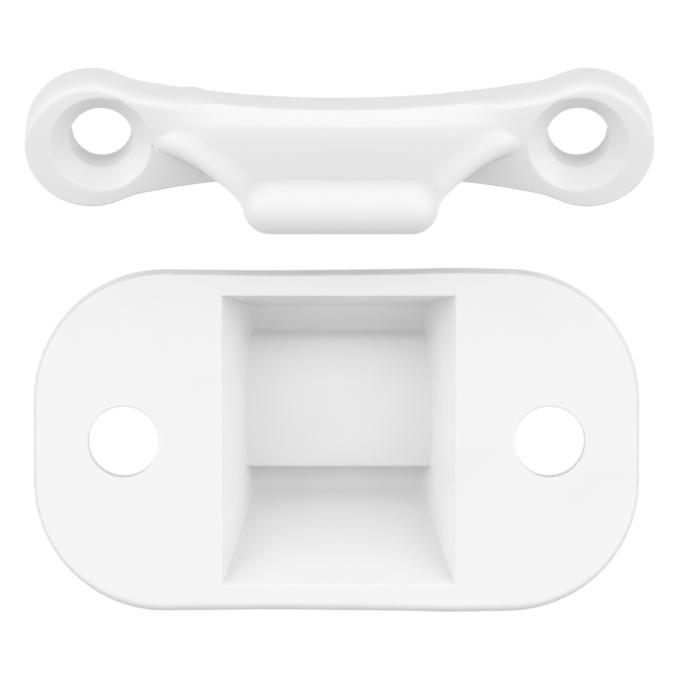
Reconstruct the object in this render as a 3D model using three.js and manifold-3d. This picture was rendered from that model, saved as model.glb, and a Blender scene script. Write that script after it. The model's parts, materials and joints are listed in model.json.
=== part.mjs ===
// A two-piece snap door catch in white moulded plastic.
// The keeper is a screw-on plate with a tapered pocket; the tongue is a screw-on bar with a flared nose.
// Units are millimetres, X runs along both bars, Y points up the photographed view, Z points off the plate.

import * as THREE from 'three';
import * as BufferGeometryUtils from 'three/addons/utils/BufferGeometryUtils.js';
import Module from 'manifold-3d';

const wasm = await Module();
wasm.setup();

// Keeper plate
const PLATE_LENGTH = 43.74;
const PLATE_HEIGHT = 24.7;
const PLATE_THICKNESS = 2.6;
const PLATE_CORNER_RADIUS = 8.8;
const PLATE_EDGE_ROUND = 0.25;
const PLATE_EDGE_DRAFT_DEG = 6.3;
const KEEPER_HOLE_INSET = 6.57;
const KEEPER_HOLE_DIAMETER = 5.1;

// Keeper pocket, with heights measured from the plate's centre line and depths from its front face
const MOUTH_LENGTH = 16.8;
const MOUTH_TOP = 10.5;
const MOUTH_BOTTOM = 10.3;
const POCKET_DEPTH = 8.0;
const POCKET_SIDE_DRAFT_DEG = 14.8;
const POCKET_WALL = 1.3;
const END_WALL_FOOT_HEIGHT = 9.65;
const END_WALL_FOOT_DEPTH = 6.6;
const VALLEY_HEIGHT = 7.85;
const VALLEY_DEPTH = 8.1;
const HUMP_RADIUS = 9.5;
const HUMP_CREST_HEIGHT = 2.0;
const HUMP_CREST_DEPTH = 5.45;
const HUMP_FLANK_LENGTH = 0.55;
const HUMP_LIP_HEIGHT = -2.15;
const NOTCH_LENGTH = 1.35;
const NOTCH_STEP_SLANT = 0.2;

// Tongue bar
const EAR_SPACING = 36.3;
const EAR_RADIUS = 4.85;
const EAR_SHOULDER_DROP = 0.25;
const BAR_THICKNESS = 3.3;
const BAR_EDGE_ROUND = 0.9;
const WAIST_HALF_HEIGHT = 2.45;
const EAR_BLEND_RADIUS = 6.0;
const EAR_HOLE_OFFSET = 0.7;
const TONGUE_HOLE_DIAMETER = 4.5;
const COUNTERSINK_DIAMETER = 7.3;
const COUNTERSINK_ANGLE_DEG = 90;

// Flared tongue and its round bead
const BEAD_RADIUS = 2.0;
const BEAD_REACH = 11.2;
const BEAD_CORNER_SHARE = 0.8;
const NECK_THICKNESS = 2.5;
const NECK_BEAD_FILLET = 0.8;
const FLARE_GROWTH = 5.1;
const FLARE_POWER = 1.55;
const ROOT_FILLET_SIDE = 1.5;
const ROOT_FILLET_FACE = 0.2;
const ROOT_TIP_STRETCH = 2.0;
const ROOT_EMBED = 1.6;

// Fit of the bead in the pocket when the door is shut
const SEAT_DEPTH = 4.5;
const SEAT_SIDE_CLEARANCE = 0.38;

// Where the two halves lie, as photographed
const TONGUE_TILT_DEG = 22;
const TONGUE_SETBACK = 21.3;

const ARC_STEPS = 16;
const THROUGH = 1.0;
const rad = THREE.MathUtils.degToRad;

// Closed bodies and booleans

function toSolid(geometry) {
  const bare = geometry.index ? geometry.toNonIndexed() : geometry.clone();
  bare.deleteAttribute('normal');
  bare.deleteAttribute('uv');
  const welded = BufferGeometryUtils.mergeVertices(bare, 1e-5);
  return new wasm.Manifold(new wasm.Mesh({
    numProp: 3,
    vertProperties: new Float32Array(welded.attributes.position.array),
    triVerts: new Uint32Array(welded.index.array),
  }));
}

function toGeometry(solid) {
  const mesh = solid.getMesh();
  const geometry = new THREE.BufferGeometry();
  geometry.setAttribute('position', new THREE.BufferAttribute(new Float32Array(mesh.vertProperties), 3));
  geometry.setIndex(new THREE.BufferAttribute(new Uint32Array(mesh.triVerts), 1));
  geometry.computeVertexNormals();
  return geometry;
}

// A skin over a stack of outlines with equal point counts, each a list of [x, y] at its own z
function stackOutlines(outlines, heights) {
  const count = outlines[0].length;
  const positions = [];
  outlines.forEach((outline, level) => {
    outline.forEach(([x, y]) => positions.push(x, y, heights[level]));
  });
  const faces = [];
  for (let level = 0; level + 1 < outlines.length; level += 1) {
    for (let i = 0; i < count; i += 1) {
      const j = (i + 1) % count;
      const a = level * count + i;
      const b = level * count + j;
      const c = a + count;
      const d = b + count;
      faces.push(a, b, d, a, d, c);
    }
  }
  const capOf = (outline) => {
    const contour = outline.map(([x, y]) => new THREE.Vector2(x, y));
    return THREE.ShapeUtils.triangulateShape(contour, []);
  };
  const top = (outlines.length - 1) * count;
  capOf(outlines[0]).forEach(([a, b, c]) => faces.push(c, b, a));
  capOf(outlines[outlines.length - 1]).forEach(([a, b, c]) => faces.push(top + a, top + b, top + c));
  const geometry = new THREE.BufferGeometry();
  geometry.setAttribute('position', new THREE.Float32BufferAttribute(positions, 3));
  geometry.setIndex(faces);
  return geometry;
}

// A profile drawn in Y and Z, pushed the same way to both sides along X
function pushAlongX(points, halfLength) {
  const shape = new THREE.Shape(points.map(([y, z]) => new THREE.Vector2(y, z)));
  const geometry = new THREE.ExtrudeGeometry(shape, { depth: 2 * halfLength, bevelEnabled: false });
  geometry.translate(0, 0, -halfLength);
  geometry.applyMatrix4(new THREE.Matrix4().makeBasis(
    new THREE.Vector3(0, 1, 0),
    new THREE.Vector3(0, 0, 1),
    new THREE.Vector3(1, 0, 0),
  ));
  return geometry;
}

function arcPoints(cx, cy, radius, from, to, steps) {
  const points = [];
  for (let i = 0; i <= steps; i += 1) {
    const angle = from + ((to - from) * i) / steps;
    points.push([cx + radius * Math.cos(angle), cy + radius * Math.sin(angle)]);
  }
  return points;
}

function roundedRectangle(halfX, halfY, radius) {
  const x = halfX - radius;
  const y = halfY - radius;
  return [
    ...arcPoints(x, y, radius, 0, Math.PI / 2, ARC_STEPS),
    ...arcPoints(-x, y, radius, Math.PI / 2, Math.PI, ARC_STEPS),
    ...arcPoints(-x, -y, radius, Math.PI, 1.5 * Math.PI, ARC_STEPS),
    ...arcPoints(x, -y, radius, 1.5 * Math.PI, 2 * Math.PI, ARC_STEPS),
  ];
}

// Keeper: a drafted plate with a rounded front edge
function keeperPlate() {
  const outlines = [];
  const heights = [];
  const level = (inset, z) => {
    const halfX = PLATE_LENGTH / 2 - inset;
    const halfY = PLATE_HEIGHT / 2 - inset;
    outlines.push(roundedRectangle(halfX, halfY, PLATE_CORNER_RADIUS - inset));
    heights.push(z);
  };
  const draft = Math.tan(rad(PLATE_EDGE_DRAFT_DEG));
  level(0, -PLATE_THICKNESS);
  const roundSteps = 4;
  for (let i = 0; i <= roundSteps; i += 1) {
    const angle = (Math.PI / 2) * (i / roundSteps);
    const drop = PLATE_EDGE_ROUND * (1 - Math.sin(angle));
    const straight = (PLATE_THICKNESS - PLATE_EDGE_ROUND) * draft;
    level(straight + PLATE_EDGE_ROUND * (1 - Math.cos(angle)), -drop);
  }
  return toSolid(stackOutlines(outlines, heights));
}

// Depth of the hump's round face at a height on the plate
function humpDepth(height, radius) {
  const across = height - HUMP_CREST_HEIGHT;
  const centreDepth = HUMP_CREST_DEPTH + HUMP_RADIUS;
  return centreDepth - Math.sqrt(radius * radius - across * across);
}

function humpPoints(fromHeight, toHeight, radius) {
  const points = [];
  for (let i = 0; i <= ARC_STEPS; i += 1) {
    const height = fromHeight + ((toHeight - fromHeight) * i) / ARC_STEPS;
    points.push([height, -humpDepth(height, radius)]);
  }
  return points;
}

// The pocket's floor line from the end wall over the hump, down the notch and out along the ramp
function pocketProfile() {
  const notchTop = HUMP_LIP_HEIGHT - NOTCH_STEP_SLANT;
  return [
    [MOUTH_TOP, THROUGH],
    [MOUTH_TOP, 0],
    [END_WALL_FOOT_HEIGHT, -END_WALL_FOOT_DEPTH],
    [VALLEY_HEIGHT, -VALLEY_DEPTH],
    ...humpPoints(VALLEY_HEIGHT - HUMP_FLANK_LENGTH, HUMP_LIP_HEIGHT, HUMP_RADIUS),
    [notchTop, -POCKET_DEPTH],
    [notchTop - NOTCH_LENGTH, -POCKET_DEPTH],
    [-MOUTH_BOTTOM, 0],
    [-MOUTH_BOTTOM, THROUGH],
  ];
}

// Height at a depth on a straight wall of the pocket, moved out square to that wall
function wallHeight(mouth, foot, footDepth, depth, outward) {
  const slope = (foot - mouth) / footDepth;
  return mouth + slope * depth + outward * Math.hypot(1, slope);
}

// Depth of the shell's back, one wall behind the deepest part of the pocket
function pocketBottom() {
  return Math.max(POCKET_DEPTH, VALLEY_DEPTH) + POCKET_WALL;
}

// The same line one wall thickness behind, so that the pocket is a shell with a hollow under its hump
function shellProfile() {
  const bottom = pocketBottom();
  const start = PLATE_THICKNESS / 2;
  const notchFar = HUMP_LIP_HEIGHT - NOTCH_STEP_SLANT - NOTCH_LENGTH;
  const foot = END_WALL_FOOT_HEIGHT;
  const endWall = (depth) => wallHeight(MOUTH_TOP, foot, END_WALL_FOOT_DEPTH, depth, POCKET_WALL);
  const ramp = (depth) => wallHeight(-MOUTH_BOTTOM, notchFar, POCKET_DEPTH, depth, -POCKET_WALL);
  const behind = HUMP_RADIUS - POCKET_WALL;
  const hollowReach = Math.sqrt(behind ** 2 - (HUMP_CREST_DEPTH + HUMP_RADIUS - bottom) ** 2);
  const hollowTop = Math.min(HUMP_CREST_HEIGHT + hollowReach, VALLEY_HEIGHT - POCKET_WALL);
  const hollowLow = Math.max(HUMP_CREST_HEIGHT - hollowReach, HUMP_LIP_HEIGHT + POCKET_WALL);
  return [
    [endWall(start), -start],
    [endWall(END_WALL_FOOT_DEPTH), -END_WALL_FOOT_DEPTH],
    [VALLEY_HEIGHT + POCKET_WALL, -bottom],
    [hollowTop, -bottom],
    ...humpPoints(hollowTop, hollowLow, behind),
    [hollowLow, -bottom],
    [ramp(bottom), -bottom],
    [ramp(start), -start],
  ];
}

// A wedge that narrows with depth, for the pocket's drafted side walls and their outer faces
function sideWedge(extra) {
  const draft = Math.tan(rad(POCKET_SIDE_DRAFT_DEG));
  const deep = pocketBottom() + THROUGH;
  const atMouth = MOUTH_LENGTH / 2 + extra;
  const points = [
    [atMouth + THROUGH * draft, THROUGH],
    [-atMouth - THROUGH * draft, THROUGH],
    [-atMouth + deep * draft, -deep],
    [atMouth - deep * draft, -deep],
  ];
  const shape = new THREE.Shape(points.map(([x, z]) => new THREE.Vector2(x, z)));
  const geometry = new THREE.ExtrudeGeometry(shape, { depth: 2 * PLATE_HEIGHT, bevelEnabled: false });
  geometry.translate(0, 0, -PLATE_HEIGHT);
  geometry.rotateX(Math.PI / 2);
  return toSolid(geometry);
}

function roundCutter(profile, x) {
  const geometry = new THREE.LatheGeometry(profile.map(([r, z]) => new THREE.Vector2(r, z)), 3 * ARC_STEPS);
  geometry.rotateX(Math.PI / 2);
  geometry.translate(x, 0, 0);
  return toSolid(geometry);
}

function keeper() {
  const sideSlant = 1 / Math.cos(rad(POCKET_SIDE_DRAFT_DEG));
  const pushed = (profile) => toSolid(pushAlongX(profile, PLATE_LENGTH / 2));
  const shell = pushed(shellProfile()).intersect(sideWedge(POCKET_WALL * sideSlant));
  const cavity = pushed(pocketProfile()).intersect(sideWedge(0));
  let body = keeperPlate().add(shell).subtract(cavity);
  const bore = [
    [0, -PLATE_THICKNESS - THROUGH],
    [KEEPER_HOLE_DIAMETER / 2, -PLATE_THICKNESS - THROUGH],
    [KEEPER_HOLE_DIAMETER / 2, THROUGH],
    [0, THROUGH],
  ];
  for (const side of [-1, 1]) {
    body = body.subtract(roundCutter(bore, side * (PLATE_LENGTH / 2 - KEEPER_HOLE_INSET)));
  }
  return body;
}

// Radius of the waist's long arc, which runs in under the top of each ear
function waistRadius() {
  const rise = EAR_RADIUS - EAR_SHOULDER_DROP - WAIST_HALF_HEIGHT;
  return ((EAR_SPACING / 2) ** 2 + rise ** 2) / (2 * rise);
}

// Tongue bar outline: waist arcs that blend into two round ears
function barOutline(inset) {
  const ear = { x: EAR_SPACING / 2, y: 0 };
  const waist = waistRadius();
  const arcCentre = WAIST_HALF_HEIGHT + waist;
  const toEar = EAR_RADIUS + EAR_BLEND_RADIUS;
  const toArc = waist - EAR_BLEND_RADIUS;
  const span = Math.hypot(ear.x, arcCentre);
  const along = (toEar * toEar - toArc * toArc + span * span) / (2 * span);
  const off = Math.sqrt(toEar * toEar - along * along);
  const ux = -ear.x / span;
  const uy = arcCentre / span;
  const blend = { x: ear.x + along * ux - off * uy, y: along * uy + off * ux };
  const earJoin = Math.atan2(blend.y - ear.y, blend.x - ear.x);
  const arcJoin = Math.atan2(blend.y - arcCentre, blend.x);
  const steps = ARC_STEPS / 2;
  const hollow = EAR_BLEND_RADIUS + inset;
  const quarter = [
    ...arcPoints(ear.x, 0, EAR_RADIUS - inset, 0, earJoin, 2 * ARC_STEPS),
    ...arcPoints(blend.x, blend.y, hollow, earJoin - Math.PI, arcJoin, steps).slice(1),
    ...arcPoints(0, arcCentre, waist + inset, arcJoin, -Math.PI / 2, steps).slice(1),
  ];
  const upper = [...quarter, ...quarter.slice(0, -1).reverse().map(([x, y]) => [-x, y])];
  const lower = upper.slice(1, -1).reverse().map(([x, y]) => [x, -y]);
  return [...upper, ...lower];
}

function bar() {
  const outlines = [barOutline(0)];
  const heights = [-BAR_THICKNESS];
  const roundSteps = 6;
  for (let i = 0; i <= roundSteps; i += 1) {
    const angle = (Math.PI / 2) * (i / roundSteps);
    outlines.push(barOutline(BAR_EDGE_ROUND * (1 - Math.cos(angle))));
    heights.push(-BAR_EDGE_ROUND * (1 - Math.sin(angle)));
  }
  return toSolid(stackOutlines(outlines, heights));
}

// Half the bead's length, set by the pocket's width where the bead sits
function beadHalfLength() {
  return MOUTH_LENGTH / 2 - SEAT_DEPTH * Math.tan(rad(POCKET_SIDE_DRAFT_DEG)) - SEAT_SIDE_CLEARANCE;
}

function rootFillet(reach, radius) {
  if (reach >= radius) return 0;
  const x = Math.min(1, 1 - reach / radius);
  return radius * (1 - Math.sqrt(1 - x * x));
}

// Stations along the tongue: reach from the bar, half length in X, half thickness and length of the round end
function tongueStations() {
  const half = NECK_THICKNESS / 2;
  const filletRise = half + NECK_BEAD_FILLET;
  const filletReach = BEAD_REACH - Math.sqrt((BEAD_RADIUS + NECK_BEAD_FILLET) ** 2 - filletRise ** 2);
  const flare = (reach) => {
    const share = Math.max(0, (BEAD_REACH - reach) / BEAD_REACH);
    const fillet = rootFillet(Math.max(0, reach), ROOT_FILLET_SIDE);
    return beadHalfLength() + FLARE_GROWTH * share ** FLARE_POWER + fillet;
  };
  const thick = (reach) => half + rootFillet(Math.max(0, reach), ROOT_FILLET_FACE);
  const end = (reach) => thick(reach) + ROOT_TIP_STRETCH * rootFillet(Math.max(0, reach), ROOT_FILLET_SIDE);
  const stations = [{ reach: -ROOT_EMBED, length: flare(0), thick: thick(0), end: end(0) }];
  const neckSteps = 18;
  for (let i = 0; i <= neckSteps; i += 1) {
    const reach = filletReach * (i / neckSteps) ** 1.6;
    stations.push({ reach, length: flare(reach), thick: thick(reach), end: end(reach) });
  }
  const join = Math.atan2(-filletRise, BEAD_REACH - filletReach);
  for (let i = 1; i <= 4; i += 1) {
    const angle = -Math.PI / 2 + ((join + Math.PI / 2) * i) / 4;
    const reach = filletReach + NECK_BEAD_FILLET * Math.cos(angle);
    const rise = filletRise + NECK_BEAD_FILLET * Math.sin(angle);
    stations.push({ reach, length: flare(reach), thick: rise, end: rise });
  }
  const start = join + Math.PI;
  for (let i = 1; i <= ARC_STEPS; i += 1) {
    const angle = start + ((rad(6) - start) * i) / ARC_STEPS;
    const reach = BEAD_REACH + BEAD_RADIUS * Math.cos(angle);
    const thickness = BEAD_RADIUS * Math.sin(angle);
    const draw = reach > BEAD_REACH ? BEAD_CORNER_SHARE * (BEAD_RADIUS - thickness) : 0;
    stations.push({ reach, length: flare(reach) - draw, thick: thickness, end: thickness });
  }
  return stations;
}

// A bar with oval ends, which are round where their length is half the thickness
function ovalEndedBar(halfLength, halfThickness, endLength) {
  const middle = halfLength - endLength;
  const oval = arcPoints(0, 0, 1, -Math.PI / 2, Math.PI / 2, ARC_STEPS);
  return [
    ...oval.map(([x, y]) => [middle + endLength * x, halfThickness * y]),
    ...oval.map(([x, y]) => [-middle - endLength * x, -halfThickness * y]),
  ];
}

function flaredTongue() {
  const stations = tongueStations();
  const outlines = stations.map(({ length, thick, end }) => ovalEndedBar(length, thick, end));
  return toSolid(stackOutlines(outlines, stations.map(({ reach }) => reach)));
}

function tongue() {
  let body = bar().add(flaredTongue());
  const hole = TONGUE_HOLE_DIAMETER / 2;
  const sink = COUNTERSINK_DIAMETER / 2;
  const slope = Math.tan(rad(COUNTERSINK_ANGLE_DEG / 2));
  const cutter = [
    [0, -BAR_THICKNESS - THROUGH],
    [hole, -BAR_THICKNESS - THROUGH],
    [hole, -(sink - hole) / slope],
    [sink + THROUGH * slope, THROUGH],
    [0, THROUGH],
  ];
  for (const side of [-1, 1]) {
    body = body.subtract(roundCutter(cutter, side * (EAR_SPACING / 2 - EAR_HOLE_OFFSET)));
  }
  return body;
}

// Both halves in one frame, lying on the ground plane and centred on it

function makeNode(name, geometry, color, roughness) {
  const material = new THREE.MeshStandardMaterial({ color, roughness, metalness: 0 });
  const mesh = new THREE.Mesh(geometry, material);
  mesh.name = name;
  return mesh;
}

const keeperGeometry = toGeometry(keeper());
keeperGeometry.translate(0, 0, pocketBottom());

const tongueGeometry = toGeometry(tongue());
tongueGeometry.rotateX(rad(TONGUE_TILT_DEG));
tongueGeometry.computeBoundingBox();
tongueGeometry.translate(0, TONGUE_SETBACK, -tongueGeometry.boundingBox.min.z);

keeperGeometry.computeBoundingBox();
tongueGeometry.computeBoundingBox();
const whole = keeperGeometry.boundingBox.clone().union(tongueGeometry.boundingBox);
const middle = (whole.min.y + whole.max.y) / 2;
keeperGeometry.translate(0, -middle, 0);
tongueGeometry.translate(0, -middle, 0);

const part = new THREE.Group();
part.name = 'door_catch';
part.add(makeNode('keeper', keeperGeometry, 0xf2f2f0, 0.42));
part.add(makeNode('tongue', tongueGeometry, 0xf4f4f2, 0.4));

export default part;
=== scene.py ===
# %% [markdown]
# # A snap door catch in white plastic
# The catch has two halves, and each is one moulding. The keeper is a plate with a pocket in its middle, and it
# is screwed to the door's frame. The tongue is a bar with a flared nose, and it is screwed to the door. When
# the door shuts, the round bead on the nose snaps past the hump in the pocket.
# The frame holds the measured solids and says how they move. Here each half is skinned again with finer
# curves, so we load the frame first.

# %% The frame
import json
import math

import bmesh
import bpy
import numpy as np
from mathutils import Matrix, Vector


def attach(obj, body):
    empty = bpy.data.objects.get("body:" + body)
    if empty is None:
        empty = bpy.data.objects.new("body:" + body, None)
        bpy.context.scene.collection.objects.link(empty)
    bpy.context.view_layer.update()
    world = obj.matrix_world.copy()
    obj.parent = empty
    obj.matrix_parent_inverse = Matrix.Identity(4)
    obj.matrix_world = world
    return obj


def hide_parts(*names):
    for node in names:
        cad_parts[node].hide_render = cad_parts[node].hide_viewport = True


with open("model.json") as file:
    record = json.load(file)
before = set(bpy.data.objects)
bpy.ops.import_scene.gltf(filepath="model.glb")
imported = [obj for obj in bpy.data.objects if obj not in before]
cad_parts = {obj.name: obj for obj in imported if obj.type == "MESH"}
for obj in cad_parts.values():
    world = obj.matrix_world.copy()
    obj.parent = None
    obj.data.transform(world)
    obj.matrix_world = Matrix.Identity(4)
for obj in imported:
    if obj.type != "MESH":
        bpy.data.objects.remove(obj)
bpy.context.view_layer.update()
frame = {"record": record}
MM = 0.001

# %% [markdown]
# ## Where each half sits
# Both halves are easiest to draw flat, with the front face at height nought and the screws running down. The
# record says where the back of each one is seated and which way that seat faces. From this we make a matrix
# that carries a flat drawing into its place. One could type in the angles instead, but then they would no
# longer follow the frame if it changed.

# %% Seats
seats = {mount["name"]: mount for mount in frame["record"]["mounts"]}


def seat_place(seat, thickness):
    """Place of a moulding: origin in the middle of its front face, Z pointing out of that face."""
    out = -Vector(seats[seat]["axis"]).normalized()
    side = Vector((1, 0, 0))
    place = Matrix((side, out.cross(side), out)).transposed().to_4x4()
    spot = Vector(seats[seat]["pos_m"])
    spot.x = 0
    place.translation = spot + out * thickness * MM
    return place


PLATE_THICKNESS = 2.6
BAR_THICKNESS = 3.3
keeper_place = seat_place("keeper_seat", PLATE_THICKNESS)
tongue_place = seat_place("tongue_seat", BAR_THICKNESS)
print("tongue leans", round(math.degrees(tongue_place.to_euler().x), 2), "degrees")

# %% [markdown]
# ## Lines with eased corners
# A mould has no perfectly sharp corner, and it is the small roundings that catch the light. We draw each
# profile as a plain line of corners, and then ease chosen corners with a short curve. A bevel modifier could
# round edges too, but it struggles where a round hump runs into a sloping wall, so the rounding goes into the
# drawing itself.

# %% Drawing helpers


def ease(line, cuts, steps=8):
    """An open line with eased corners. Cuts says which corners, and how far from each its curve starts."""
    spots = np.array(line, float)
    run = np.concatenate([[0], np.cumsum(np.linalg.norm(np.diff(spots, axis=0), axis=1))])

    def along(length):
        return np.array([np.interp(length, run, spots[:, k]) for k in (0, 1)])

    eased = []
    for i, corner in enumerate(spots):
        if i in cuts:
            first, last = along(run[i] - cuts[i]), along(run[i] + cuts[i])
            for t in np.linspace(0, 1, steps + 1):
                eased.append((1 - t) ** 2 * first + 2 * t * (1 - t) * corner + t * t * last)
        elif all(abs(run[i] - run[c]) > cut for c, cut in cuts.items()):
            eased.append(corner)
    return [tuple(float(v) for v in spot) for spot in eased]


def fill_in(line, step):
    """The same line with extra points, so that none are further apart than the step."""
    filled = [line[0]]
    for a, b in zip(line, line[1:]):
        parts = max(1, math.ceil(math.dist(a, b) / step))
        for k in range(1, parts + 1):
            filled.append(tuple(p + (q - p) * k / parts for p, q in zip(a, b)))
    return filled


def smooth(low, high, value):
    """A soft step from nought to one."""
    share = min(1, max(0, (value - low) / (high - low)))
    return share * share * (3 - 2 * share)


def arc(across, up, radius, start, stop, steps):
    """Points on an arc, with its angles in degrees."""
    turns = np.radians(np.linspace(start, stop, steps + 1))
    return [(across + radius * math.cos(t), up + radius * math.sin(t)) for t in turns]


print("an eased square corner has", len(ease([(0, 0), (1, 0), (1, 1)], {1: 0.3})), "points")

# %% [markdown]
# ## A moulding gathered point by point
# Every surface of the two halves is one of three kinds: a skin over rows of points, a skin over closed rings,
# or a flat face with holes in it. This small class collects all three in one mesh, and it uses a point again
# when two surfaces meet there, so the skin closes without a merge afterwards. At the end it counts open edges,
# because a moulding that doesn't hold water isn't a solid thing.

# %% Moulding


class Moulding:
    """One closed skin, drawn in millimetres."""

    def __init__(self, name):
        self.name = name
        self.mesh = bmesh.new()
        self.spots = {}

    def row(self, spots):
        made = []
        for spot in spots:
            key = tuple(round(v, 4) for v in spot)
            if key not in self.spots:
                self.spots[key] = self.mesh.verts.new(spot)
            made.append(self.spots[key])
        return made

    def skin(self, rows, closed=True):
        for near, far in zip(rows, rows[1:]):
            count = len(near)
            for i in range(count if closed else count - 1):
                j = (i + 1) % count
                corners = list(dict.fromkeys((near[i], near[j], far[j], far[i])))
                if len(corners) > 2:
                    self.mesh.faces.new(corners)

    def flat(self, *rings):
        edges = []
        for ring in rings:
            for a, b in zip(ring, ring[1:] + ring[:1]):
                if a is not b:
                    edges.append(self.mesh.edges.get((a, b)) or self.mesh.edges.new((a, b)))
        bmesh.ops.triangle_fill(self.mesh, edges=edges, use_beauty=True)

    def finish(self, place):
        bmesh.ops.scale(self.mesh, vec=(MM, MM, MM), verts=self.mesh.verts[:])
        bmesh.ops.recalc_face_normals(self.mesh, faces=self.mesh.faces[:])
        loose = [edge for edge in self.mesh.edges if len(edge.link_faces) != 2]
        print(self.name, "has", len(self.mesh.faces), "faces,", len(loose), "open edges and holds",
              round(self.mesh.calc_volume() / MM**3), "cubic mm")
        data = bpy.data.meshes.new(self.name)
        self.mesh.to_mesh(data)
        self.mesh.free()
        data.shade_smooth()
        thing = bpy.data.objects.new(self.name, data)
        bpy.context.scene.collection.objects.link(thing)
        thing.matrix_world = place
        weighted = thing.modifiers.new("flat faces stay flat", "WEIGHTED_NORMAL")
        weighted.weight = 60
        return thing


keeper = Moulding("keeper_moulding")
tongue = Moulding("tongue_moulding")

# %% [markdown]
# ## Keeper: the plate's edge
# The plate is a rounded rectangle whose edge leans in towards the front, so that it leaves the mould. On the
# real one the long edges aren't quite straight: they drew in a little beside the thick pocket as the plastic
# cooled. The front edge is nearly sharp at the top and softer at the bottom. We walk round the outline once,
# note the direction out of the edge at each spot, and use that for every ring from the back to the front.

# %% Plate outline
PLATE_LENGTH = 43.74
PLATE_HEIGHT = 24.7
PLATE_CORNER = 9.45
PLATE_SHIFT = -0.155
PLATE_DRAFT = math.tan(math.radians(6.3))
BACK_EDGE = 0.12
FRONT_EDGE = 0.14
LOWER_SOFTNESS = 0.4
EDGE_HOLLOW = (0.08, -4.5, 5.5)
EDGE_SWELL = (-0.085, 8.6, 3.2)
CORNER_STEPS = 24
EDGE_STEP = 0.7


def plate_outline():
    """Spots on the plate's outer edge, each with the direction out of the edge."""
    x, y = PLATE_LENGTH / 2 - PLATE_CORNER, PLATE_HEIGHT / 2 - PLATE_CORNER
    outline = []
    for across, up, start in ((x, y, 0), (-x, y, 90), (-x, -y, 180), (x, -y, 270)):
        for turn in np.radians(np.linspace(start, start + 90, CORNER_STEPS + 1)):
            out = Vector((math.cos(turn), math.sin(turn)))
            outline.append((Vector((across, up)) + out * PLATE_CORNER, out))
    walked = []
    for here, after in zip(outline, outline[1:] + outline[:1]):
        parts = max(1, round((after[0] - here[0]).length / EDGE_STEP))
        for k in range(parts):
            walked.append((here[0].lerp(after[0], k / parts), here[1].lerp(after[1], k / parts)))
    return walked


def drawn_in(x):
    """How far the long edges drew in at x. Each wave has a depth, a place and a width."""
    waves = (EDGE_HOLLOW, EDGE_SWELL)
    return sum(depth * math.exp(-(((x - place) / width) ** 2)) for depth, place, width in waves)


def plate_ring(level):
    """One ring round the plate. The level gives inset and height from the radius of the front edge there."""
    ring = []
    for spot, out in plate_outline():
        edge = FRONT_EDGE + LOWER_SOFTNESS * max(0, -out.y) ** 3
        inset, height = level(edge)
        moved = spot - out * (inset + drawn_in(spot.x) * out.y**2)
        ring.append((moved.x + PLATE_SHIFT, moved.y, height))
    return keeper.row(ring)


plate_rings = []
for turn in np.linspace(0, math.pi / 2, 4):
    inset, height = BACK_EDGE * (1 - math.sin(turn)), -PLATE_THICKNESS + BACK_EDGE * (1 - math.cos(turn))
    plate_rings.append(plate_ring(lambda edge: (inset, height)))
for turn in np.linspace(0, math.pi / 2, 9):
    plate_rings.append(plate_ring(lambda edge: (
        (PLATE_THICKNESS - edge) * PLATE_DRAFT + edge * (1 - math.cos(turn)),
        -edge * (1 - math.sin(turn)),
    )))
keeper.skin(plate_rings)
print("the plate's edge has", len(plate_rings), "rings of", len(plate_rings[0]), "points")

# %% [markdown]
# ## Keeper: the screw holes
# Each end of the plate has a plain hole for a screw. It is a profile turned round an axis, as on a lathe, with
# a tiny rounding at both ends. The first and last rings stay flat, because the plate's faces start there.

# %% Turned holes
HOLE_POINTS = 72


def turned(moulding, x, profile, radius_at=lambda radius, height, turn: radius):
    """Rings of a hole at a place along the moulding, from a profile of radius and height."""
    rings = []
    for radius, height in profile:
        ring = []
        for k in range(HOLE_POINTS):
            turn = 2 * math.pi * k / HOLE_POINTS
            reach = radius_at(radius, height, turn)
            ring.append((x + reach * math.cos(turn), reach * math.sin(turn), height))
        rings.append(moulding.row(ring))
    moulding.skin(rings)
    return rings


KEEPER_HOLE = 5.1 / 2
KEEPER_HOLE_X = 15.33
HOLE_EASE = 0.12
keeper_hole_line = ease([
    (KEEPER_HOLE + 1, 0), (KEEPER_HOLE, 0),
    (KEEPER_HOLE, -PLATE_THICKNESS), (KEEPER_HOLE + 1, -PLATE_THICKNESS),
], {1: HOLE_EASE, 2: HOLE_EASE}, steps=4)[1:-1]
keeper_holes = [turned(keeper, PLATE_SHIFT + side * KEEPER_HOLE_X, keeper_hole_line) for side in (-1, 1)]
print("keeper holes", 2 * KEEPER_HOLE, "mm wide,", 2 * KEEPER_HOLE_X, "mm apart")

# %% [markdown]
# ## Keeper: the pocket
# From the top, the pocket has a steep end wall, a face that slopes down, the round hump that the bead snaps
# past, a notch behind the hump's lip, and a ramp back to the front. Its two side walls lean in with depth. A
# boolean cut would give these faces too, but with hard edges between them. So we ease the profile from top to
# bottom, and then lay a cut across the pocket at each point of it: down one side wall, round the corner, over
# the floor, and up again.

# %% Pocket profile
MOUTH_HALF = 8.4
MOUTH_TOP = 10.5
MOUTH_BOTTOM = 10.3
POCKET_DEPTH = 8.5
POCKET_DRAFT = math.tan(math.radians(14.8))
END_WALL_FOOT = (9.65, 6.6)
VALLEY = (7.85, 8.1)
HUMP_RADIUS = 9.5
HUMP_CREST = (2.0, 5.45)
HUMP_TOP = 7.3
HUMP_LIP = -2.15
NOTCH_SLANT = 0.2
NOTCH_LENGTH = 1.35
RIM_CUT = 0.13
FOOT_EASE = 0.5
VALLEY_EASE = 0.45
HUMP_EASE = 0.4
LIP_EASE = 0.25
NOTCH_EASE = 0.2
RAMP_EASE = 0.5


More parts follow.
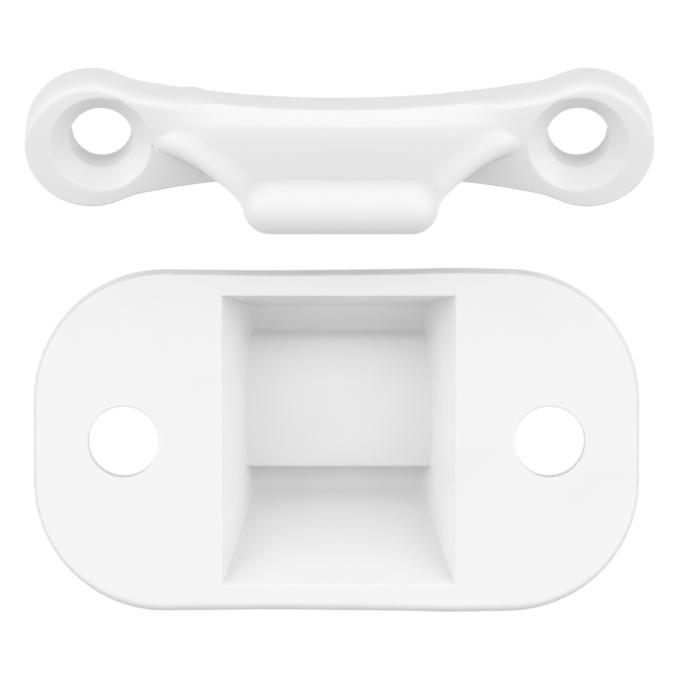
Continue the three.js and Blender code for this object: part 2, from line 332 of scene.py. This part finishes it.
def hump(start, stop, radius, steps=40):
    """The hump's round face as height and depth."""
    centre = HUMP_CREST[1] + HUMP_RADIUS
    heights = np.linspace(start, stop, steps + 1)
    return [(h, centre - math.sqrt(radius**2 - (h - HUMP_CREST[0]) ** 2)) for h in heights]


notch_top = HUMP_LIP - NOTCH_SLANT
notch_far = notch_top - NOTCH_LENGTH
hump_line = hump(HUMP_TOP, HUMP_LIP, HUMP_RADIUS)
pocket_line = [
    (MOUTH_TOP + 2, 0), (MOUTH_TOP, 0), END_WALL_FOOT, VALLEY, *hump_line,
    (notch_top, POCKET_DEPTH), (notch_far, POCKET_DEPTH), (-MOUTH_BOTTOM, 0), (-MOUTH_BOTTOM - 2, 0),
]
lip = 3 + len(hump_line)
pocket_line = ease(pocket_line, {
    1: RIM_CUT, 2: FOOT_EASE, 3: VALLEY_EASE, 4: HUMP_EASE,
    lip: LIP_EASE, lip + 1: NOTCH_EASE, lip + 2: RAMP_EASE, lip + 3: RIM_CUT,
})[1:-1]
pocket_line = fill_in(pocket_line, 0.5)
deepest = max(d for h, d in pocket_line)
print("pocket profile with", len(pocket_line), "points, deepest", round(deepest, 2), "mm")

# %% [markdown]
# ## Keeper: cuts across the pocket
# A cut starts on the flat face, turns over the rim, follows the side wall and eases into the floor. Near the
# mouth the wall has hardly any depth, so the rim's curve is squeezed to fit, and at the mouth itself the whole
# wall shrinks to one corner point. The same function makes the back of the pocket, which is a shell of even
# thickness that starts at the plate's back.

# %% Cuts across
RIM_STEPS = 6
FLOOR_EASE = 0.15


def side_wall(half, start, deep, cut):
    """A side wall as half width and depth, from the eased rim down."""
    foot = (half - (deep - start) * POCKET_DRAFT, deep)
    return ease([(half + 2, start), (half, start), foot], {1: cut}, steps=RIM_STEPS)[1:]


def cut_across(height, depth, wall, corner):
    """Points across the pocket at a height on the plate, from side to side."""
    widths, depths = zip(*wall)
    start = depths[0]
    squeeze = min(1, (depth - start) / 2 / (depths[RIM_STEPS] - start))
    downs = [start + (d - start) * squeeze for d in depths[: RIM_STEPS + 1]]
    turn = min(corner, 0.7 * (depth - downs[-1]))
    downs += list(np.linspace(downs[-1], depth - turn, 6)[1:])
    half = [(np.interp(d, depths, widths), d) for d in downs]
    foot = np.interp(depth, depths, widths)
    for t in np.linspace(0, 1, 8)[1:]:
        x = (1 - t) ** 2 * half[len(downs) - 1][0] + 2 * t * (1 - t) * foot + t * t * (foot - turn)
        half.append((x, depth - turn * (1 - t) ** 2))
    half += [(x, depth) for x in np.linspace(foot - turn, 0, 9)[1:]]
    across = half + [(-x, d) for x, d in reversed(half[:-1])]
    return [(float(x), height, -float(d)) for x, d in across]


def rim_of(rows):
    """The outer points of a skin of rows, in order round it."""
    return rows[0] + [row[-1] for row in rows[1:-1]] + rows[-1][::-1] + [row[0] for row in rows[-2:0:-1]]


pocket_wall = side_wall(MOUTH_HALF, 0, POCKET_DEPTH + 1, RIM_CUT)
pocket_rows = [keeper.row(cut_across(h, d, pocket_wall, FLOOR_EASE)) for h, d in pocket_line]
keeper.skin(pocket_rows, closed=False)
print("pocket skin of", len(pocket_rows), "by", len(pocket_rows[0]), "points")

# %% [markdown]
# ## Keeper: the back of the pocket
# The photograph shows only the front. Behind it such a keeper has a shell that follows the pocket one wall
# further out, with a hollow under the hump, so that no part of the moulding is too thick to cool evenly. The
# shell's profile is drawn from the pocket's own sizes and one wall thickness.

# %% Shell
POCKET_WALL = 1.3
SHELL_BOTTOM = VALLEY[1] + POCKET_WALL
SEAT_EASE = 0.3
OUTER_EASE = 0.4
HOLLOW_EDGE = 0.2
HOLLOW_EASE = 0.25
SHELL_CORNER = 0.35


def moved_out(mouth, foot, foot_depth, depth, outward):
    """Height of a straight wall at a depth, moved out square to the wall."""
    slope = (foot - mouth) / foot_depth
    return mouth + slope * depth + outward * math.hypot(1, slope)


def end_wall_back(depth):
    return moved_out(MOUTH_TOP, END_WALL_FOOT[0], END_WALL_FOOT[1], depth, POCKET_WALL)


def ramp_back(depth):
    return moved_out(-MOUTH_BOTTOM, notch_far, POCKET_DEPTH, depth, -POCKET_WALL)


hollow_top, hollow_low = VALLEY[0] - POCKET_WALL, HUMP_LIP + POCKET_WALL
hollow = hump(hollow_top, hollow_low, HUMP_RADIUS - POCKET_WALL)
top, low = end_wall_back(PLATE_THICKNESS), ramp_back(PLATE_THICKNESS)
shell_line = [
    (top + 2, PLATE_THICKNESS), (top, PLATE_THICKNESS), (end_wall_back(END_WALL_FOOT[1]), END_WALL_FOOT[1]),
    (VALLEY[0] + POCKET_WALL, SHELL_BOTTOM), (hollow_top, SHELL_BOTTOM), *hollow,
    (hollow_low, SHELL_BOTTOM), (ramp_back(SHELL_BOTTOM), SHELL_BOTTOM),
    (low, PLATE_THICKNESS), (low - 2, PLATE_THICKNESS),
]
end = 4 + len(hollow)
shell_line = ease(shell_line, {
    1: SEAT_EASE, 2: OUTER_EASE, 3: OUTER_EASE, 4: HOLLOW_EDGE, 5: HOLLOW_EASE,
    end: HOLLOW_EASE, end + 1: HOLLOW_EDGE, end + 2: OUTER_EASE, end + 3: SEAT_EASE,
}, steps=5)[1:-1]
shell_half = MOUTH_HALF + POCKET_WALL * math.hypot(1, POCKET_DRAFT) - PLATE_THICKNESS * POCKET_DRAFT
shell_wall = side_wall(shell_half, PLATE_THICKNESS, SHELL_BOTTOM + 0.5, SEAT_EASE)
shell_rows = [keeper.row(cut_across(h, d, shell_wall, SHELL_CORNER)) for h, d in fill_in(shell_line, 0.8)]
keeper.skin(shell_rows, closed=False)
print("shell stands", round(SHELL_BOTTOM - PLATE_THICKNESS, 2), "mm behind the plate")

# %% [markdown]
# ## Keeper: the flat faces
# The front and the back are flat faces with holes in them: two for the screws and one for the pocket. Blender
# can fill such a face from its edges alone. The weighted normals that the class adds keep these faces looking
# flat right up to the small roundings.

# %% Keeper faces
keeper.flat(plate_rings[-1], rim_of(pocket_rows), *(rings[0] for rings in keeper_holes))
keeper.flat(plate_rings[0], rim_of(shell_rows), *(rings[-1] for rings in keeper_holes))
keeper_piece = keeper.finish(keeper_place)

# %% [markdown]
# ## Tongue: the bar
# Seen from the front, the bar has a round ear at each end and a waist between them: a long shallow arc that
# runs into each ear through a hollow arc. All three are arcs, so a ring that lies further in has the same
# centres and only other radii, and the way from one ring to the next points straight out of the edge.
# The real bar isn't quite even: it lies a little low, and its left ear is drawn in by a hair.

# %% Bar outline
EAR_X = 36.15 / 2
EAR_RADIUS = 4.8
EAR_BLEND = 6.0
WAIST_HALF = 2.45
WAIST_RISE = EAR_RADIUS - 0.25 - WAIST_HALF
WAIST_RADIUS = (EAR_X**2 + WAIST_RISE**2) / (2 * WAIST_RISE)
BAR_SAG = 0.1
SAG_SPAN = (10, 16)
EAR_DRAWN = 0.13
DRAWN_SPAN = (8, 16)


def bar_outline(inset):
    """The bar's outline, this far in from its widest."""
    centre = Vector((0, WAIST_HALF + WAIST_RADIUS))
    ear = Vector((EAR_X, 0))
    to_ear, to_arc = EAR_RADIUS + EAR_BLEND, WAIST_RADIUS - EAR_BLEND
    span = (centre - ear).length
    along = (to_ear**2 - to_arc**2 + span**2) / (2 * span)
    off = math.sqrt(to_ear**2 - along**2)
    way = (centre - ear) / span
    blend = ear + way * along + Vector((-way.y, way.x)) * off
    join = math.degrees(math.atan2(blend.y - ear.y, blend.x - ear.x))
    meet = math.degrees(math.atan2(blend.y - centre.y, blend.x - centre.x))
    quarter = arc(ear.x, ear.y, EAR_RADIUS - inset, 0, join, 40)
    quarter += arc(blend.x, blend.y, EAR_BLEND + inset, join - 180, meet, 14)[1:]
    quarter += arc(centre.x, centre.y, WAIST_RADIUS + inset, meet, -90, 24)[1:]
    upper = quarter + [(-x, y) for x, y in reversed(quarter[:-1])]
    whole = upper + [(x, -y) for x, y in reversed(upper[1:-1])]
    lowered = [(x, y - BAR_SAG * (smooth(*SAG_SPAN, abs(x)) if y < 0 else 1)) for x, y in whole]
    return [(x + EAR_DRAWN * smooth(*DRAWN_SPAN, -x), y) for x, y in lowered]


bar_spots = [Vector(spot) for spot in bar_outline(0)]
bar_outs = [here - Vector(inner) for here, inner in zip(bar_spots, bar_outline(1))]
print("bar", 2 * (EAR_X + EAR_RADIUS), "mm long, waist arc of radius", round(WAIST_RADIUS, 1), "mm")

# %% [markdown]
# ## Tongue: the bar's front edge
# This edge changes as it runs round the bar. It is nearly sharp along the bottom and round on top of the ears.
# Above the nose it carries a slanting face, which ends in a straight line on the nose's root and flattens out
# towards the ears. This face is what catches the light. So each point has its own small curve, from the side of
# the bar to the start of the slant, and then its own straight piece. A bevel modifier gives every edge the same
# profile, so it couldn't do this.

# %% Bar edge
WEB_LINE = 1.325
WEB_END = 12.4
WEB_FULL = 8.5
WEB_DEPTH = 0.8
UPPER_SIDE = (-0.1, 0.9)
LOWER_EDGE = 0.15
EAR_TURN, WEB_TURN = 0.6, 0.1
EAR_TAIL, WEB_TAIL = 1.6, 0.15
SHORTEST_SLANT = 0.06


def mix(first, second, share):
    return first + (second - first) * share


def front_edge(spot, out):
    """The front edge as inset and height: start, corner and end of its curve, and the end of the slant."""
    upper = smooth(*UPPER_SIDE, out.y)
    middle = upper * smooth(WEB_END, WEB_FULL, abs(spot.x))
    turn = mix(LOWER_EDGE, mix(EAR_TURN, WEB_TURN, middle), upper)
    end = turn + SHORTEST_SLANT
    if upper > 0.9 and abs(spot.x) < WEB_END + 0.2:
        end = (spot.y - WEB_LINE) / out.y
    deep = WEB_DEPTH * middle
    corner = -deep - turn * deep / (end - turn)
    tail = mix(LOWER_EDGE, mix(EAR_TAIL, WEB_TAIL, middle), upper)
    return (0, corner - tail), (0, corner), (turn, -deep), (end, 0)


SCAR_X = -10.55
SCAR_HALF = 0.55
SCAR_RISE = 0.17
SCAR_DEPTH = 0.9


def gate_scar(x, y, height):
    """How far the rest of the sprue stands out of the bar's top side."""
    level = max(0, min(1, (-SCAR_DEPTH - height) / SCAR_DEPTH))
    return SCAR_RISE * level * math.exp(-(((x - SCAR_X) / SCAR_HALF) ** 4)) if y > 0 else 0


def bar_ring(level):
    """One ring round the bar. The level gives inset and height from the front edge's four points."""
    ring = []
    for spot, out in zip(bar_spots, bar_outs):
        inset, height = level(*front_edge(spot, out))
        moved = spot - out * inset
        ring.append((moved.x, moved.y + gate_scar(moved.x, moved.y, height), height))
    return tongue.row(ring)


def between(a, b, share):
    return tuple(mix(p, q, share) for p, q in zip(a, b))


BAR_BACK_EDGE = 0.15
back = -BAR_THICKNESS + BAR_BACK_EDGE
bar_rings = []
for turn in np.linspace(0, math.pi / 2, 4):
    inset, height = BAR_BACK_EDGE * (1 - math.sin(turn)), back - BAR_BACK_EDGE * math.cos(turn)
    bar_rings.append(bar_ring(lambda *edge: (inset, height)))
for share in (0.25, 0.5, 0.75):
    bar_rings.append(bar_ring(lambda first, *edge: between((0, back), first, share)))
for share in np.linspace(0, 1, 9):
    bar_rings.append(bar_ring(lambda first, corner, last, end: between(
        between(first, corner, share), between(corner, last, share), share)))
for share in (0.33, 0.67, 1):
    bar_rings.append(bar_ring(lambda first, corner, last, end: between(last, end, share)))
tongue.skin(bar_rings)
print("the bar's edge has", len(bar_rings), "rings of", len(bar_rings[0]), "points")

# %% [markdown]
# ## Tongue: the countersunk holes
# The screw heads sink into a cone in each ear. Where the two halves of the mould met inside the hole, a thin
# step of plastic is left on the lower side. Turning the profile with a radius that depends on the angle gives
# this step without another piece.

# %% Countersinks
TONGUE_HOLE = 4.56 / 2
COUNTERSINK = 7.3 / 2
HOLE_INSET = 0.7
TONGUE_HOLE_X = EAR_X - HOLE_INSET
FLASH = 0.13
FLASH_START = 0.3
FLASH_STEP = 0.15
FLASH_SHARPNESS = 12
countersink_foot = -(COUNTERSINK - TONGUE_HOLE)
countersink_line = ease([
    (COUNTERSINK + 1, 0), (COUNTERSINK, 0), (TONGUE_HOLE, countersink_foot),
    (TONGUE_HOLE, -BAR_THICKNESS), (TONGUE_HOLE + 1, -BAR_THICKNESS),
], {1: HOLE_EASE, 2: 0.15, 3: 0.08}, steps=4)[1:-1]


def with_flash(radius, height, turn):
    """The hole is tighter on its lower side near the back."""
    lower = min(1, max(0, 0.5 - FLASH_SHARPNESS * math.sin(turn)))
    deep = min(1, max(0, (countersink_foot - FLASH_START - height) / FLASH_STEP))
    return radius - FLASH * lower * deep


hole_places = (EAR_DRAWN - TONGUE_HOLE_X, TONGUE_HOLE_X)
tongue_holes = [turned(tongue, x, fill_in(countersink_line, 0.4), with_flash) for x in hole_places]
print("countersinks", 2 * COUNTERSINK, "mm wide,", round(hole_places[1] - hole_places[0], 2), "mm apart")

# %% [markdown]
# ## Tongue: the flared nose and its bead
# The nose is a flat bar that stands out of the first one, wide at its root and narrower towards the bead. Each
# station along it is an outline with straight sides and oval ends. At the root the ends stretch out into
# points, where the nose runs into the bar. At the tip the thickness follows a circle, which makes the bead.
# A subdivision surface would be softer everywhere, and the bead would lose its even roundness.

# %% Nose stations
BEAD_RADIUS = 2.0
BEAD_REACH = 11.2
BEAD_CORNER = 0.8
BEAD_SEAT = 4.5
BEAD_PLAY = 0.25
BEAD_HALF = MOUTH_HALF - BEAD_SEAT * POCKET_DRAFT - BEAD_PLAY
BEAD_OFFSET = 0.15
NOSE_SLANT = BEAD_OFFSET / BEAD_REACH
NECK_LOW = 1.25
NECK_HIGH = 1.0
NECK_FILLET = 0.7
FLARE_GROWTH = 5.1
FLARE_POWER = 1.55
ROOT_SIDE = 1.5
ROOT_FACE = 0.12
SWEEP_REACH = 3.4
SWEEP_RISE = 0.3
NECK_END = BEAD_REACH - 2.6
BEAD_START = BEAD_REACH - 1


def root_fillet(reach, radius):
    share = max(0, 1 - reach / radius)
    return radius * (1 - math.sqrt(1 - share**2))


def flare(reach):
    share = max(0, (BEAD_REACH - reach) / BEAD_REACH)
    return BEAD_HALF + FLARE_GROWTH * share**FLARE_POWER + root_fillet(reach, ROOT_SIDE)


def half_thickness(reach, neck):
    """The nose from its middle plane to its face: flat neck, hollow fillet, round bead."""
    rise = neck + NECK_FILLET
    fillet = BEAD_REACH - math.sqrt((BEAD_RADIUS + NECK_FILLET) ** 2 - rise**2)
    touch = fillet + (BEAD_REACH - fillet) * NECK_FILLET / (BEAD_RADIUS + NECK_FILLET)
    if reach < fillet:
        return neck
    if reach < touch:
        return rise - math.sqrt(NECK_FILLET**2 - (reach - fillet) ** 2)
    return math.sqrt(max(0, BEAD_RADIUS**2 - (reach - BEAD_REACH) ** 2))


def station(reach):
    """Reach, half length, half thickness below and above, and length of the oval ends."""
    low = half_thickness(reach, NECK_LOW) + root_fillet(reach, ROOT_FACE)
    high = half_thickness(reach, NECK_HIGH) + SWEEP_RISE * max(0, 1 - reach / SWEEP_REACH) ** 2
    draw = BEAD_CORNER * (BEAD_RADIUS - low) if reach > BEAD_REACH else 0
    return reach, flare(reach) - draw, low, high, low + 2 * root_fillet(reach, ROOT_SIDE)


reaches = [ROOT_FACE * (1 - math.cos(t)) for t in np.linspace(0, math.pi / 2, 6)]
reaches += [ROOT_FACE + (ROOT_SIDE - ROOT_FACE) * t**1.4 for t in np.linspace(0, 1, 13)[1:]]
reaches += list(np.linspace(ROOT_SIDE, NECK_END, 15)[1:])
reaches += list(np.linspace(NECK_END, BEAD_START, 17)[1:])
bead_turns = np.linspace(math.radians(118), math.radians(2), 29)
reaches += [BEAD_REACH + BEAD_RADIUS * math.cos(t) for t in bead_turns]
stations = [station(reach) for reach in reaches]
print("nose with", len(stations), "stations, bead", round(2 * BEAD_HALF, 2), "mm long")

# %% Nose skin


def nose_ring(reach, length, low, high, end):
    """A bar with oval ends at a station."""
    oval = [(x, high * y if y > 0 else low * y) for x, y in arc(0, 0, 1, -90, 90, 28)]
    right = [(length - end + end * x, y) for x, y in oval]
    left = [(-x, y) for x, y in reversed(right)]
    flat = np.linspace(1, -1, 14)[1:-1]
    top = [((length - end) * s, high) for s in flat]
    foot = [(-(length - end) * s, -low) for s in flat]
    return tongue.row([(x + NOSE_SLANT * reach, y, reach) for x, y in right + top + left + foot])


nose_rings = [nose_ring(*station) for station in stations]
tongue.skin(nose_rings)
tongue.flat(nose_rings[-1])
tongue.flat(bar_rings[-1], nose_rings[0], *(rings[0] for rings in tongue_holes))
tongue.flat(bar_rings[0], *(rings[-1] for rings in tongue_holes))
tongue_piece = tongue.finish(tongue_place)

# %% [markdown]
# ## White plastic
# Both halves are white plastic as it leaves the mould. Close up it has a fine grain from the mould's steel,
# its gloss drifts a little from place to place, and the white is faintly uneven. Painted shade greys the white
# in the pocket's valley, its notch and under the nose, where an occlusion node finds little open space.
# Both materials use these, so they are one node group with its own values in each material. The colour, gloss
# and height that the group puts out all change over the surface, and whatever is the same everywhere is set on
# the shader itself.

# %% Moulded skin group


def moulded_skin():
    group = bpy.data.node_groups.new("moulded skin", "ShaderNodeTree")
    sockets = group.interface
    # The third colour is painted shade, the grey for corners and under the nose.
    for name in ("Plastic", "Smudge", "Painted shade"):
        sockets.new_socket(name, in_out="INPUT", socket_type="NodeSocketColor")
    for name in ("Grain", "Gloss"):
        sockets.new_socket(name, in_out="INPUT", socket_type="NodeSocketFloat")
    sockets.new_socket("Colour", in_out="OUTPUT", socket_type="NodeSocketColor")
    for name in ("Roughness", "Height"):
        sockets.new_socket(name, in_out="OUTPUT", socket_type="NodeSocketFloat")
    nodes, links = group.nodes, group.links
    given, result = nodes.new("NodeGroupInput"), nodes.new("NodeGroupOutput")
    place = nodes.new("ShaderNodeTexCoord")

    def noise(scale, detail):
        made = nodes.new("ShaderNodeTexNoise")
        made.inputs["Scale"].default_value = scale
        made.inputs["Detail"].default_value = detail
        links.new(place.outputs["Object"], made.inputs["Vector"])
        return made

    clouds, drift = noise(160, 2), noise(420, 3)
    grain = noise(9000, 2)
    links.new(given.outputs["Grain"], grain.inputs["Scale"])
    faint = nodes.new("ShaderNodeMapRange")
    faint.inputs["From Min"].default_value = 0.52
    faint.inputs["From Max"].default_value = 0.8
    links.new(clouds.outputs["Fac"], faint.inputs["Value"])
    tint = nodes.new("ShaderNodeMix")
    tint.data_type = "RGBA"
    links.new(faint.outputs["Result"], tint.inputs["Factor"])
    links.new(given.outputs["Plastic"], tint.inputs["A"])
    links.new(given.outputs["Smudge"], tint.inputs["B"])
    # Painted shade: where the occlusion node finds little open space, the colour is greyed towards the shade
    # colour.
    corners = nodes.new("ShaderNodeAmbientOcclusion")
    corners.samples = 6
    corners.inputs["Distance"].default_value = 0.003
    painted_shade_mask = nodes.new("ShaderNodeMapRange")
    painted_shade_mask.inputs["From Min"].default_value = 0.92
    painted_shade_mask.inputs["From Max"].default_value = 0.58
    links.new(corners.outputs["AO"], painted_shade_mask.inputs["Value"])
    painted_shade_mix = nodes.new("ShaderNodeMix")
    painted_shade_mix.data_type = "RGBA"
    links.new(painted_shade_mask.outputs["Result"], painted_shade_mix.inputs["Factor"])
    links.new(tint.outputs["Result"], painted_shade_mix.inputs["A"])
    links.new(given.outputs["Painted shade"], painted_shade_mix.inputs["B"])
    links.new(painted_shade_mix.outputs["Result"], result.inputs["Colour"])
    rough = nodes.new("ShaderNodeMath")
    rough.operation = "MULTIPLY_ADD"
    rough.inputs[1].default_value = 0.12
    links.new(drift.outputs["Fac"], rough.inputs[0])
    links.new(given.outputs["Gloss"], rough.inputs[2])
    links.new(rough.outputs["Value"], result.inputs["Roughness"])
    waves = nodes.new("ShaderNodeMath")
    waves.operation = "MULTIPLY_ADD"
    waves.inputs[1].default_value = 6
    links.new(clouds.outputs["Fac"], waves.inputs[0])
    links.new(grain.outputs["Fac"], waves.inputs[2])
    links.new(waves.outputs["Value"], result.inputs["Height"])
    return group


skin_group = moulded_skin()
puts_out = [socket.name for socket in skin_group.interface.items_tree if socket.in_out == "OUTPUT"]
print("group", skin_group.name, "with outputs", puts_out)

# %% Plastics


def plastic(name, colour, smudge, painted_shade, grain, gloss):
    material = bpy.data.materials.new(name)
    material.use_nodes = True
    nodes, links = material.node_tree.nodes, material.node_tree.links
    shader = nodes["Principled BSDF"]
    shader.inputs["Specular IOR Level"].default_value = 0.35
    shader.inputs["Subsurface Weight"].default_value = 0.05
    shader.inputs["Subsurface Radius"].default_value = (1, 0.95, 0.9)
    shader.inputs["Subsurface Scale"].default_value = 0.0006
    skin = nodes.new("ShaderNodeGroup")
    skin.node_tree = skin_group
    skin.inputs["Plastic"].default_value = (*colour, 1)
    skin.inputs["Smudge"].default_value = (*smudge, 1)
    skin.inputs["Painted shade"].default_value = (*painted_shade, 1)
    skin.inputs["Grain"].default_value = grain
    skin.inputs["Gloss"].default_value = gloss
    bump = nodes.new("ShaderNodeBump")
    bump.inputs["Strength"].default_value = 0.25
    bump.inputs["Distance"].default_value = 0.00001
    links.new(skin.outputs["Colour"], shader.inputs["Base Color"])
    links.new(skin.outputs["Roughness"], shader.inputs["Roughness"])
    links.new(skin.outputs["Height"], bump.inputs["Height"])
    links.new(bump.outputs["Normal"], shader.inputs["Normal"])
    return material


SMUDGED = (0.83, 0.83, 0.83)
# The grey that the white is painted to in corners and under the nose: painted shade.
PAINTED_SHADE_GREY = (0.79, 0.79, 0.79)
keeper_plastic = plastic("keeper plastic", (0.85, 0.85, 0.85), SMUDGED, PAINTED_SHADE_GREY, grain=9000, gloss=0.36)
tongue_plastic = plastic("tongue plastic", (0.84, 0.84, 0.84), SMUDGED, PAINTED_SHADE_GREY, grain=11000, gloss=0.3)
keeper_piece.data.materials.append(keeper_plastic)
tongue_piece.data.materials.append(tongue_plastic)
print("materials", keeper_plastic.name, "and", tongue_plastic.name)

# %% [markdown]
# ## Into the frame
# Each new moulding stands for the plain solid of the same half, takes its material slot and rides on its body.
# From here on the door's swing carries the tongue.

# %% Riding
for piece, node in ((keeper_piece, "keeper"), (tongue_piece, "tongue")):
    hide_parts(node)
    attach(piece, node)
print("both halves ride on their bodies")

# %% [markdown]
# ## Floor and light
# The photograph is a white studio shot with very soft light. The floor is a wide plain plane that the camera
# sees as white, and it still takes a faint shadow of the two halves. The light comes from a surround that is
# brighter above the picture than below it, and from a large soft box on the left and on the right, which light
# the pocket's side walls. That is why those steep walls look bright, and the slope and the valley don't; the
# valley is darkened further by the painted shade in the plastic's colour.

# %% Floor
WHITE = (1, 1, 1, 1)
floor_mesh = bmesh.new()
bmesh.ops.create_grid(floor_mesh, x_segments=8, y_segments=8, size=3)
floor_data = bpy.data.meshes.new("floor")
floor_mesh.to_mesh(floor_data)
floor_mesh.free()
floor = bpy.data.objects.new("floor", floor_data)
bpy.context.scene.collection.objects.link(floor)

floor_white = bpy.data.materials.new("floor white")
floor_white.use_nodes = True
nodes, links = floor_white.node_tree.nodes, floor_white.node_tree.links
matt = nodes["Principled BSDF"]
matt.inputs["Base Color"].default_value = (0.4, 0.4, 0.4, 1)
matt.inputs["Roughness"].default_value = 0.9
matt.inputs["Specular IOR Level"].default_value = 0.0
rays = nodes.new("ShaderNodeLightPath")
seen = nodes.new("ShaderNodeMath")
seen.operation = "MAXIMUM"
links.new(rays.outputs["Is Camera Ray"], seen.inputs[0])
links.new(rays.outputs["Is Glossy Ray"], seen.inputs[1])
glow = nodes.new("ShaderNodeEmission")
glow.inputs["Color"].default_value = WHITE
glow.inputs["Strength"].default_value = 1.07
mixed = nodes.new("ShaderNodeMixShader")
share = nodes.new("ShaderNodeMath")
share.operation = "MULTIPLY"
share.inputs[1].default_value = 0.92
links.new(seen.outputs["Value"], share.inputs[0])
links.new(share.outputs["Value"], mixed.inputs["Fac"])
links.new(matt.outputs["BSDF"], mixed.inputs[1])
links.new(glow.outputs["Emission"], mixed.inputs[2])
links.new(mixed.outputs["Shader"], nodes["Material Output"].inputs["Surface"])
floor_data.materials.append(floor_white)
print("floor", floor.dimensions.x, "m wide")

# %% Lights
world = bpy.data.worlds.new("studio")
world.use_nodes = True
bpy.context.scene.world = world
nodes, links = world.node_tree.nodes, world.node_tree.links
sky = nodes["Background"]
way = nodes.new("ShaderNodeTexCoord")
parts = nodes.new("ShaderNodeSeparateXYZ")
falling = nodes.new("ShaderNodeMapRange")
falling.inputs["From Min"].default_value = -0.9
falling.inputs["From Max"].default_value = 0.5
falling.inputs["To Min"].default_value = 0.57
falling.inputs["To Max"].default_value = 0.75
links.new(way.outputs["Generated"], parts.inputs["Vector"])
links.new(parts.outputs["Y"], falling.inputs["Value"])
links.new(falling.outputs["Result"], sky.inputs["Strength"])
sky.inputs["Color"].default_value = WHITE
backdrop = nodes.new("ShaderNodeBackground")
backdrop.inputs["Color"].default_value = WHITE
rays = nodes.new("ShaderNodeLightPath")
mixed = nodes.new("ShaderNodeMixShader")
links.new(rays.outputs["Is Camera Ray"], mixed.inputs["Fac"])
links.new(sky.outputs["Background"], mixed.inputs[1])
links.new(backdrop.outputs["Background"], mixed.inputs[2])
links.new(mixed.outputs["Shader"], nodes["World Output"].inputs["Surface"])


def panel(name, spot, size, watts):
    """A square soft light at a spot, turned to the middle of the floor."""
    lamp = bpy.data.lights.new(name, "AREA")
    lamp.shape = "SQUARE"
    lamp.size = size
    lamp.energy = watts
    thing = bpy.data.objects.new(name, lamp)
    bpy.context.scene.collection.objects.link(thing)
    thing.location = spot
    thing.rotation_euler = (-Vector(spot)).to_track_quat("-Z", "Y").to_euler()
    return thing


panel("left box", (-0.8, 0.17, 0.55), size=0.9, watts=4.2)
panel("right box", (0.8, 0.17, 0.55), size=0.9, watts=4.2)
panel("top box", (0, 0.5, 0.87), size=0.5, watts=0.2)

# %% [markdown]
# ## Camera
# The picture was taken from above with a long lens: the plate's hole walls hardly show, and its top edge shows
# as a thin band. So the camera stands half a metre away and leans two and a half degrees towards the top of
# the picture. The lens follows from the scale at the plate's front, which is 13.92 pixels a millimetre.

# %% Camera
PIXELS = 680
SCALE = 13.92
DISTANCE = 0.5
LEAN = math.radians(2.5)
AIM_X = 0.1
camera_data = bpy.data.cameras.new("camera")
camera_data.sensor_width = 36
camera_data.lens = 36 * SCALE / MM * DISTANCE / PIXELS
camera = bpy.data.objects.new("camera", camera_data)
bpy.context.scene.collection.objects.link(camera)
aim = Vector((AIM_X * MM, 0, keeper_place.translation.z))
camera.location = aim + Vector((0, math.sin(LEAN), math.cos(LEAN))) * DISTANCE
camera.rotation_euler = (-LEAN, 0, 0)
bpy.context.scene.camera = camera
bpy.context.scene.view_settings.view_transform = "Standard"
print("lens", round(camera_data.lens), "mm")
